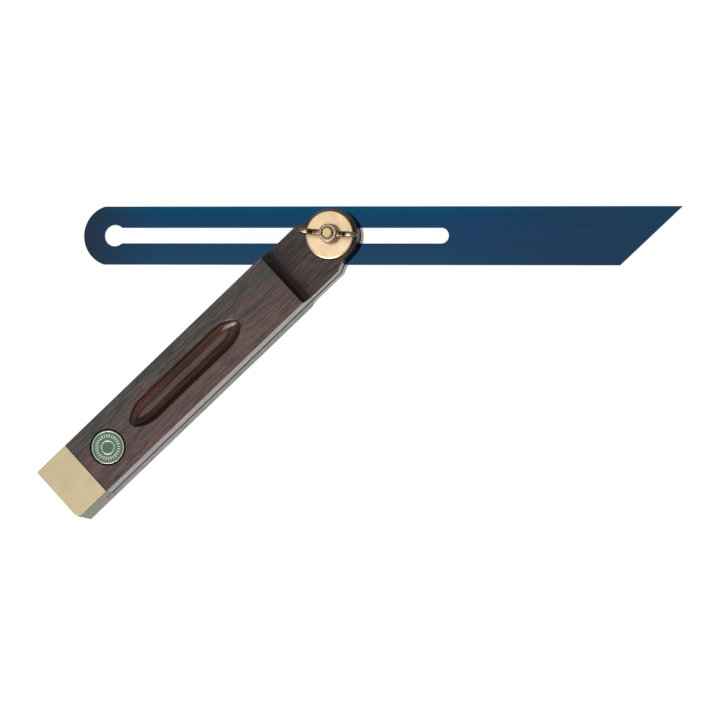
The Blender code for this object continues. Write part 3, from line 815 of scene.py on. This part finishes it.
def make_wing_nut(material):
    """A cast nut: hub and wings grown together with soft inner corners, then bored."""
    base = HUB_BASE_DIAMETER / 2
    top = HUB_TOP_DIAMETER / 2
    hub_profile = [
        (0, 0), (base, 0), (base, HUB_FOOT), (top, HUB_HEIGHT - HUB_TOP_CHAMFER),
        (top - HUB_TOP_CHAMFER, HUB_HEIGHT), (0, HUB_HEIGHT),
    ]
    nut = piece("wing_nut_cast", turned(hub_profile))
    half = WING_THICKNESS / 2
    slab = stacked(wings_outline(), eased_levels(-half, half, WING_EASE))
    for vert in slab.verts:
        vert.co.z *= 1 - WING_TAPER_SHARE * abs(vert.co.x) / (WING_SPAN / 2)
    wings = piece("wings", slab, Matrix.Rotation(math.pi / 2, 4, "X"))
    cast = bmesh.new()
    cast.from_mesh(nut.data)
    cast.from_mesh(wings.data)
    cast.to_mesh(nut.data)
    cast.free()
    bpy.data.objects.remove(wings, do_unlink=True)
    remesh = nut.modifiers.new("cast_skin", "REMESH")
    remesh.mode = "VOXEL"
    remesh.voxel_size = CASTING_GRAIN
    soften = nut.modifiers.new("soft_corners", "SMOOTH")
    soften.factor = 0.5
    soften.iterations = 8
    settle(nut)
    bore = hole_form("nut_bore", THREAD_DIAMETER + 2 * RUN_GAP, -OVERRUN, HUB_HEIGHT, (0, 0, 0),
                     HUB_SINK)
    combine(nut, "DIFFERENCE", bore)
    place = Matrix.Translation((PIVOT.x, 0, NUT_LOW.z))
    nut.data.transform(place @ Matrix.Rotation(NUT_ANGLE, 4, "Z"))
    smooth(nut)
    dress(nut, material, "nut", "bright_brass", "wing_nut")


def feed(socket, value):
    """Link a socket to another, or set its value."""
    if isinstance(value, bpy.types.NodeSocket):
        socket.id_data.links.new(value, socket)
    else:
        socket.default_value = value


def fill(made, values):
    """Feed a node's inputs, by name or place."""
    for key, value in values.items():
        feed(made.inputs[key], value)


def node(tree, kind, values=None, **settings):
    """A shader node with its settings made and its inputs fed."""
    made = tree.nodes.new("ShaderNode" + kind)
    for name, value in settings.items():
        setattr(made, name, value)
    fill(made, values or {})
    return made


def mixed(share, one, two):
    """The colour between two, each a socket or a plain colour."""
    one, two = ((*side, 1.0) if isinstance(side, tuple) else side for side in (one, two))
    return node(share.id_data, "Mix", {0: share, 6: one, 7: two}, data_type="RGBA").outputs[2]


def sums(operation, one, two=0.0, clamp=False):
    """Two values put together. The first may be the plain number 1."""
    tree = (two if one == 1.0 else one).id_data
    return node(tree, "Math", {0: one, 1: two}, operation=operation, use_clamp=clamp).outputs[0]


def times(one, two):
    return sums("MULTIPLY", one, two)


def between(value, low, high, to_low=0.0, to_high=1.0):
    """A value carried from one range to another, and held there."""
    values = {"Value": value, "From Min": low, "From Max": high, "To Min": to_low, "To Max": to_high}
    return node(value.id_data, "MapRange", values).outputs["Result"]


def lessened(value, mask, share):
    """A value of which only a share is left where the mask is 1."""
    return times(value, between(mask, 0.0, 1.0, 1.0, share))


def laid(under, mask, share, colour):
    """A plain colour laid over another through a share of a mask."""
    return mixed(times(mask, share), under, colour)


def stretched(vector, scale, location=(0, 0, 0), turn=(0, 0, 0)):
    values = {"Vector": vector, "Location": location, "Rotation": turn, "Scale": scale}
    return node(vector.id_data, "Mapping", values).outputs["Vector"]


def noise(vector, scale, detail=4.0, roughness=0.55, distortion=0.0):
    values = {"Vector": vector, "Scale": scale, "Detail": detail, "Roughness": roughness,
              "Distortion": distortion}
    return node(vector.id_data, "TexNoise", values).outputs["Fac"]


def vectors(operation, one, two):
    """Two vectors put together: their product, or their distance or dot product."""
    made = node(one.id_data, "VectorMath", {0: one, 1: two}, operation=operation)
    return made.outputs["Vector" if operation == "MULTIPLY" else "Value"]


def split(vector):
    return node(vector.id_data, "SeparateXYZ", {"Vector": vector}).outputs


def outward(tree):
    """Where the surface itself faces."""
    return node(tree, "NewGeometry").outputs["True Normal"]


def colours(value, *stops):
    """A colour ramp with stops of place and colour."""
    made = node(value.id_data, "ValToRGB", {"Fac": value})
    ramp = made.color_ramp
    while len(ramp.elements) < len(stops):
        ramp.elements.new(1.0)
    for element, (place, colour) in zip(ramp.elements, stops):
        element.position = place
        element.color = (*colour, 1.0)
    return made.outputs["Color"]


def new_group(name, sizes, output):
    """A shader node group fed with a vector and sizes: what it is given, and its one output."""
    group = bpy.data.node_groups.new(name, "ShaderNodeTree")
    group.interface.new_socket("Vector", in_out="INPUT", socket_type="NodeSocketVector")
    for label, value in sizes.items():
        socket = group.interface.new_socket(label, in_out="INPUT", socket_type="NodeSocketFloat")
        socket.default_value = value
    group.interface.new_socket(output, in_out="OUTPUT", socket_type="NodeSocketFloat")
    given = group.nodes.new("NodeGroupInput").outputs
    return given, group.nodes.new("NodeGroupOutput").inputs[output]


def arris_mask_group():
    """Mask of the arrises, for wear on some pieces and painted edge shade on others: where a rounded
    normal leaves the true one, broken up by noise.
    """
    given, result = new_group("arris_mask", {"Radius": 0.0003, "Patch Scale": 300.0}, "Mask")
    group = result.id_data
    rounded = node(group, "Bevel", {"Radius": given["Radius"]}, samples=6).outputs["Normal"]
    surface = node(group, "NewGeometry").outputs["Normal"]
    edge = between(vectors("DOT_PRODUCT", rounded, surface), 0.995, 0.90)
    patches = noise(given["Vector"], given["Patch Scale"], 3.0)
    broken = between(patches, 0.35, 0.65, 0.35, 1.0)
    feed(result, sums("MULTIPLY", edge, broken, clamp=True))


def brushing_group():
    """Fine lines along X of the vector, as a value about one half."""
    given, result = new_group("brushing", {"Across": 9000.0, "Along": 60.0}, "Lines")
    scales = {"X": given["Along"], "Y": given["Across"], "Z": given["Across"]}
    scale = node(result.id_data, "CombineXYZ", scales).outputs["Vector"]
    feed(result, noise(vectors("MULTIPLY", given["Vector"], scale), 1.0, 3.0, 0.7))


def handling_group():
    """Soft patches where hands have dulled or polished a finish."""
    given, result = new_group("handling", {"Scale": 90.0}, "Mask")
    wide = noise(given["Vector"], given["Scale"], 3.0, 0.6, 0.4)
    fine = noise(given["Vector"], times(given["Scale"], 9.0), 2.0, 0.6)
    coarse = between(wide, 0.35, 0.68, 0.0, 0.8)
    feed(result, sums("ADD", coarse, times(fine, 0.2), clamp=True))


def use(name, where, **values):
    """What a node group gives at a place in a material."""
    group = bpy.data.node_groups[name]
    return node(where.id_data, "Group", {"Vector": where, **values}, node_tree=group).outputs[0]


def new_material(name):
    """A material and its object coordinates."""
    material = bpy.data.materials.new(name)
    material.use_nodes = True
    return material, node(material.node_tree, "TexCoord").outputs["Object"]


def painted(material, values):
    """A material with its shader's inputs fed."""
    fill(material.node_tree.nodes["Principled BSDF"], values)
    return material


def bump(height, distance, strength):
    values = {"Height": height, "Distance": distance, "Strength": strength}
    return node(height.id_data, "Bump", values).outputs["Normal"]


def wood_grain(where):
    """Object coordinates bent a little, so that the grain wanders along the stock."""
    tree = where.id_data
    bend = noise(stretched(where, (14, 50, 50)), 1.0, 1.0)
    sideways = node(tree, "CombineXYZ", {"Y": bend, "Z": bend}).outputs[0]
    drift = node(tree, "VectorMath", {0: sideways, 1: (0.0, GRAIN_DRIFT, GRAIN_DRIFT), 2: where},
                 operation="MULTIPLY_ADD")
    return drift.outputs["Vector"]


def groove_masks(parts):
    """1 over the finger groove, 1 along its lip, and 1 on its walls."""
    beside = between(sums("ABSOLUTE", parts["Y"]), *GROOVE_SIDES)
    short = between(parts["X"], *GROOVE_END)
    there = times(times(beside, short), between(parts["Z"], *GROOVE_UNDER))
    bowl = times(there, between(parts["Z"], *GROOVE_BOWL))
    rim = times(between(parts["Z"], *LIP_TOP), between(parts["Z"], *LIP_FOOT))
    off_floor = sums("ABSOLUTE", sums("SUBTRACT", parts["Y"], GROOVE_FLOOR_Y))
    return bowl, times(there, rim), times(bowl, between(off_floor, *GROOVE_WALLS))


def wood_places(where, parts):
    """Masks of the places of the stock that take painted shade, other tones or their own polish, by
    name.
    """
    from_badge = vectors("DISTANCE", where, (BADGE_CENTRE.x, BADGE_CENTRE.y, THICKNESS))
    from_middle = sums("ABSOLUTE", sums("SUBTRACT", parts["Z"], MID_Z))
    level = between(sums("ABSOLUTE", split(outward(where.id_data))["Z"]), *LEVEL_SLOPES)
    upright = sums("SUBTRACT", 1.0, level)
    upper = between(parts["Z"], *UPPER_CHEEK)
    lower_side = times(sums("SUBTRACT", 1.0, upper), upright)
    head = times(level, between(parts["X"], *HEAD_FACE))
    groove, lip, walls = groove_masks(parts)
    return {
        "level": level,
        "upright": upright,
        "groove": groove,
        "lip": lip,
        "walls": walls,
        "pocket": between(from_badge, *POCKET_SIDE),
        "slot": between(from_middle, *SLOT_WALLS),
        "joint": between(parts["X"], *JOINT_EDGE),
        "head": head,
        "cove": times(head, between(parts["X"], *COVE_SHADE)),
        "over_blade": times(times(upper, upright), between(parts["X"], *OVER_BLADE)),
        "lower_cheek": times(lower_side, between(parts["X"], *LOWER_CHEEK)),
    }


def wood_colour(parts, grain, streaks, pore):
    """Warm and grey zones, lit and shaded streaks and dark open pores."""
    zones = noise(stretched(grain, (20, 190, 150)), 1.0, 4.0, 0.6)
    across = between(parts["Y"], -HALF_WIDTH, HALF_WIDTH, *WARM_TO_GREY)
    base = colours(sums("ADD", zones, across), *WOOD_STOPS)
    lit = mixed(between(streaks, 0.50, 0.68, 0.0, 0.70), base, WOOD_LIT)
    shaded = mixed(between(streaks, 0.50, 0.36, 0.0, 0.85), lit, WOOD_SHADED)
    return laid(shaded, pore, 0.9, WOOD_PORE)


def groove_colour(parts, grain):
    """The redder wood that the finger groove lays open, with its +Y wall painted lighter for the
    window's light.
    """
    cut = noise(stretched(grain, (26, 620, 1500), (5, 2, 7)), 1.0, 5.0, 0.68)
    # Painted light: the wall at +Y is made lighter.
    cut = sums("ADD", cut, between(parts["Y"], *GROOVE_PAINTED_LIT_WALL, -0.01, 0.07))
    return colours(cut, *GROOVE_STOPS)


def wood_finish(places, streaks, pore, hands):
    """The sheen, roughness and coat of the oiled wood."""
    sheen = between(streaks, 0.34, 0.66, 0.40, 0.60)
    sheen = lessened(sheen, pore, 0.45)
    for place, share in WOOD_SHEENS:
        sheen = lessened(sheen, places[place], share)
    rough = sums("ADD", between(hands, 0.0, 1.0, *WOOD_ROUGHNESS), times(pore, 0.25))
    rough = lessened(rough, places["groove"], GROOVE_ROUGHNESS_SHARE)
    cheeks = sums("ADD", places["over_blade"], times(places["lower_cheek"], 0.6), clamp=True)
    matt = sums("MAXIMUM", sums("MAXIMUM", places["head"], places["pocket"]), cheeks)
    coat = lessened(between(places["level"], 0.0, 1.0, *WOOD_COATS), matt, 0.0)
    return sheen, rough, coat


def rosewood():
    """Dark rosewood: warm and grey streaks along X, short open pores, an oiled sheen and painted shade
    by place.
    """
    material, where = new_material("rosewood")
    grain = wood_grain(where)
    parts = split(where)
    streaks = noise(stretched(grain, (66, 1200, 1000)), 1.0, 6.0, 0.72)
    hairs = noise(stretched(grain, (210, 2600, 2300), (3, 1, 2)), 1.0, 3.0, 0.7)
    pore = between(hairs, 0.56, 0.66)
    places = wood_places(where, parts)
    toned = wood_colour(parts, grain, streaks, pore)
    toned = mixed(times(places["groove"], 0.85), toned, groove_colour(parts, grain))
    # Painted shade by place: the groove's lip, the pocket's gap, the blade's slot, the cove, the
    # upright sides and the cheek over the blade. The head's darker tone and the joint's dark line go
    # on here too.
    for place, share, colour in WOOD_SHADES:
        toned = laid(toned, places[place], share, colour)
    edge_mask = use("arris_mask", where, Radius=WOOD_WEAR)
    hands = use("handling", where, Scale=70.0)
    sheen, rough, coat = wood_finish(places, streaks, pore, hands)
    relief = sums("SUBTRACT", times(streaks, 0.6), pore)
    relief = lessened(relief, places["groove"], 0.25)
    return painted(material, {
        "Base Color": laid(toned, edge_mask, 0.2, WOOD_WORN),
        "Specular IOR Level": sheen,
        "Roughness": rough,
        "Coat Weight": coat,
        "Coat Roughness": 0.12,
        "Normal": bump(relief, PORE_DEPTH, 0.6),
    })


def satin_brass():
    """The cap's brushed brass, with painted shade on its -Y side, and greyed along its edges by wear
    and a painted grey reflection.
    """
    material, where = new_material("satin_brass")
    lines = use("brushing", where, Across=7000.0, Along=90.0)
    hands = use("handling", where, Scale=120.0)
    tone = mixed(hands, *CAP_TONES)
    lined = mixed(between(lines, 0.3, 0.7, 0.0, 0.35), tone, CAP_LINES)
    # Painted shade on the -Y side, standing in for the dim floor it reflects.
    shaded_side = between(split(outward(where.id_data))["Y"], -0.15, -0.70)
    side_shaded = mixed(shaded_side, lined, CAP_SIDE_SHADE)
    edge_mask = use("arris_mask", where, Radius=CAP_EDGE_WIDTH)
    return painted(material, {
        # Edges greyed: wear, and a painted grey reflection.
        "Base Color": laid(side_shaded, edge_mask, 0.8, CAP_EDGE_GREY),
        "Metallic": 1.0,
        "Roughness": between(lines, 0.3, 0.7, 0.34, 0.46),
        "Normal": bump(lines, BRUSHING_DEPTH, 0.5),
    })


def slope_shade_and_hollow_masks(radius, slopes, steepness, hollows):
    """Where steep faces turned from the window take painted dark reflection, and where the wings'
    hollows tarnish.
    """
    facing = outward(radius.id_data)
    toward_window = vectors("DOT_PRODUCT", facing, WINDOW_FACING_SIDE)
    unshaded = sums("ADD", sums("ABSOLUTE", split(facing)["Z"]), toward_window)
    steep = between(unshaded, steepness, steepness - 0.17)
    inner = between(radius, *HOLLOW_START)
    return times(steep, slopes), times(inner, between(radius, *HOLLOW_END, 0.0, hollows))


def bright_brass(name):
    """Polished brass with fine turning marks about the pivot, painted shade on the side and the steep
    faces turned from the window, and tarnish in hollows.
    """
    bright, dull, satin, slopes, steepness, hollows = BRASSES[name]
    material, where = new_material(name)
    tree = where.id_data
    centred = stretched(where, (1, 1, 1), -PIVOT)
    parts = split(centred)
    flat = node(tree, "CombineXYZ", {"X": parts["X"], "Y": parts["Y"]}).outputs["Vector"]
    radius = node(tree, "VectorMath", {0: flat}, operation="LENGTH").outputs["Value"]
    turning = node(tree, "CombineXYZ", {"X": times(radius, 9000.0), "Y": parts["Z"]})
    rings = noise(turning.outputs["Vector"], 1.0, 3.0, 0.7)
    hands = use("handling", where, Scale=160.0)
    # Painted shade: darker towards the side away from the window, mixed with hand-dulled patches.
    across = between(vectors("DOT_PRODUCT", centred, SHADED_SIDE), *SIDE_SHADE_PLACES, 0.0, 0.7)
    dulled = sums("ADD", across, times(hands, 0.45), clamp=True)
    tone = mixed(dulled, bright, dull)
    shaded_slopes, hollow = slope_shade_and_hollow_masks(radius, slopes, steepness, hollows)
    # Painted dark reflection on steep faces, then tarnish in the hollows.
    shade_and_tarnish = mixed(shaded_slopes, tone, BRASS_SLOPE_SHADE)
    shade_and_tarnish = mixed(hollow, shade_and_tarnish, HOLLOW_TARNISH)
    edge_mask = use("arris_mask", where, Radius=BRASS_WEAR)
    rough = between(rings, 0.3, 0.7, satin, satin + 0.06)
    return painted(material, {
        "Base Color": laid(shade_and_tarnish, edge_mask, 0.05, BRASS_WORN),
        "Metallic": 1.0,
        "Roughness": sums("ADD", times(hands, 0.08), rough),
        "Normal": bump(rings, TURNING_DEPTH, 0.5),
    })


def blued_steel():
    """Heat-blued spring steel: the oxide's colour drifts along and across the blade."""
    material, where = new_material("blued_steel")
    centred = stretched(where, (1, 1, 1), -PIVOT)
    along = stretched(centred, (1, 1, 1), (0, 0, 0), (0, 0, -REST_ANGLE))
    parts = split(along)
    cloud = noise(stretched(along, (14, 55, 55)), 1.0, 4.0, 0.55, 0.5)
    lines = use("brushing", along, Across=6000.0, Along=45.0)
    waver = times(sums("SUBTRACT", cloud, 0.5), BLUE_WAVER)
    share = between(sums("ADD", parts["Y"], waver), -BLADE_WIDTH / 2, BLADE_WIDTH / 2)
    toned = colours(share, *BLUE_STOPS)
    for places, strength, colour in BLUE_ENDS:
        toned = laid(toned, between(parts["X"], *places), strength, colour)
    lined = mixed(between(lines, 0.35, 0.75, 0.0, 0.20), toned, BLUE_LINES)
    # Painted shade along the blade's edges, through the edge mask.
    edge_mask = use("arris_mask", where, Radius=STEEL_EDGE_WIDTH)
    hands = use("handling", where, Scale=60.0)
    rough = between(lines, 0.3, 0.7, 0.07, 0.12)
    return painted(material, {
        "Base Color": laid(lined, edge_mask, 0.8, STEEL_EDGE_SHADE),
        "Metallic": 1.0,
        "Roughness": sums("ADD", rough, times(hands, 0.06)),
        "Normal": bump(lines, GRINDING_DEPTH, 0.5),
    })


def badge_metal():
    """The badge's pale plated rim, ring and ticks."""
    material, where = new_material("badge_metal")
    hands = use("handling", where, Scale=700.0)
    fine = noise(where, 6000.0, 2.0)
    return painted(material, {
        "Base Color": mixed(hands, *PLATE_TONES),
        "Metallic": 1.0,
        "Roughness": between(hands, 0.0, 1.0, 0.26, 0.42),
        "Normal": bump(fine, GRINDING_DEPTH, 0.4),
    })


def green_enamel():
    """Glossy green enamel with a little cloudiness."""
    material, where = new_material("green_enamel")
    cloud = noise(where, 900.0, 4.0, 0.6, 0.3)
    hands = use("handling", where, Scale=500.0)
    return painted(material, {
        "Base Color": colours(cloud, *ENAMEL_STOPS),
        "Roughness": between(hands, 0.0, 1.0, 0.12, 0.26),
        "Coat Weight": 0.5,
        "Coat Roughness": 0.08,
        "Normal": bump(cloud, ENAMEL_DEPTH, 0.3),
    })


def seen_directly(tree):
    """1 for camera, glossy and transmission rays, 0 for those that only carry light."""
    path = node(tree, "LightPath")
    one = sums("ADD", path.outputs["Is Camera Ray"], path.outputs["Is Glossy Ray"])
    return sums("ADD", one, path.outputs["Is Transmission Ray"], clamp=True)


def floor_material():
    """White where it is looked at, but for the object's own shadow, and pale to the light."""
    material = bpy.data.materials.new("studio_floor")
    material.use_nodes = True
    tree = material.node_tree
    tree.nodes.remove(tree.nodes["Principled BSDF"])
    bounce = node(tree, "BsdfDiffuse", {"Color": FLOOR_BOUNCE})
    catch = node(tree, "BsdfDiffuse", {"Color": FLOOR_CATCH})
    glow = node(tree, "Emission", {"Color": WHITE, "Strength": FLOOR_GLOW})
    shown = node(tree, "AddShader", {0: catch.outputs[0], 1: glow.outputs[0]})
    choice = node(tree, "MixShader", {0: seen_directly(tree), 1: bounce.outputs[0],
                                      2: shown.outputs[0]})
    feed(tree.nodes["Material Output"].inputs["Surface"], choice.outputs[0])
    return material


def set_world():
    """White to the camera; a soft room to gloss, bright overhead and at the horizon."""
    world = bpy.context.scene.world or bpy.data.worlds.new("studio")
    bpy.context.scene.world = world
    world.use_nodes = True
    tree = world.node_tree
    tree.nodes.clear()
    path = node(tree, "LightPath")
    direction = node(tree, "TexCoord").outputs["Generated"]
    height = split(direction)["Z"]
    white = node(tree, "Background", {"Color": WHITE, "Strength": 1.0})
    gloss = node(tree, "Background", {"Color": colours(height, *ROOM_STOPS), "Strength": 1.0})
    soft = node(tree, "Background", {"Color": WHITE, "Strength": SOFT_STRENGTH})
    lit = node(tree, "MixShader", {0: path.outputs["Is Glossy Ray"], 1: soft.outputs[0],
                                   2: gloss.outputs[0]})
    shown = node(tree, "MixShader", {0: path.outputs["Is Camera Ray"], 1: lit.outputs[0],
                                     2: white.outputs[0]})
    out = tree.nodes.new("ShaderNodeOutputWorld")
    feed(out.inputs["Surface"], shown.outputs[0])


def add_window():
    """The broad lamp that lights the bevel like a window, low on its -X -Y side."""
    lamp = bpy.data.lights.new("window", "AREA")
    lamp.shape = "RECTANGLE"
    lamp.size = WINDOW_WIDTH
    lamp.size_y = WINDOW_HEIGHT
    lamp.energy = WINDOW_POWER
    made = placed("window", lamp)
    made.location = WINDOW_PLACE
    made.rotation_euler = (WINDOW_AIM - WINDOW_PLACE).to_track_quat("-Z", "Y").to_euler()


def add_camera():
    """The camera that the photograph was fitted with."""
    data = bpy.data.cameras.new("photo_camera")
    data.lens = LENS
    data.sensor_width = SENSOR
    data.clip_start = CLIP_START
    data.clip_end = CLIP_END
    camera = placed("photo_camera", data)
    back = -CAMERA_LOOK.normalized()
    right = CAMERA_TOP.cross(back).normalized()
    turn = Matrix((right, back.cross(right), back)).transposed()
    camera.matrix_world = Matrix.Translation(CAMERA_PLACE) @ turn.to_4x4()
    bpy.context.scene.camera = camera


def add_stage():
    """A white floor just under the bevel."""
    floor = piece("studio_floor", box_mesh(FLOOR_LOW, FLOOR_HIGH))
    floor.data.materials.append(floor_material())


def build():
    """All pieces with their finishes, and the studio."""
    arris_mask_group()
    brushing_group()
    handling_group()
    washer_brass, bolt_brass, nut_brass = (bright_brass(name) for name in BRASSES)
    make_stock(rosewood())
    make_cap(satin_brass())
    make_badge(badge_metal(), green_enamel())
    make_blade(blued_steel())
    make_bolt(bolt_brass)
    front_bore = THREAD_DIAMETER / 2 + RUN_GAP + FRONT_WASHER_PLAY
    back_bore = SHANK_DIAMETER / 2 + RUN_GAP
    make_washer("washer_front_polished", washer_brass, front_bore, "washer", "front_washer")
    make_washer("washer_back_polished", washer_brass, back_bore, "stock", "back_washer")
    make_wing_nut(nut_brass)
    add_stage()
    set_world()
    add_window()
    add_camera()
    bpy.context.scene.view_settings.view_transform = "Standard"


build()
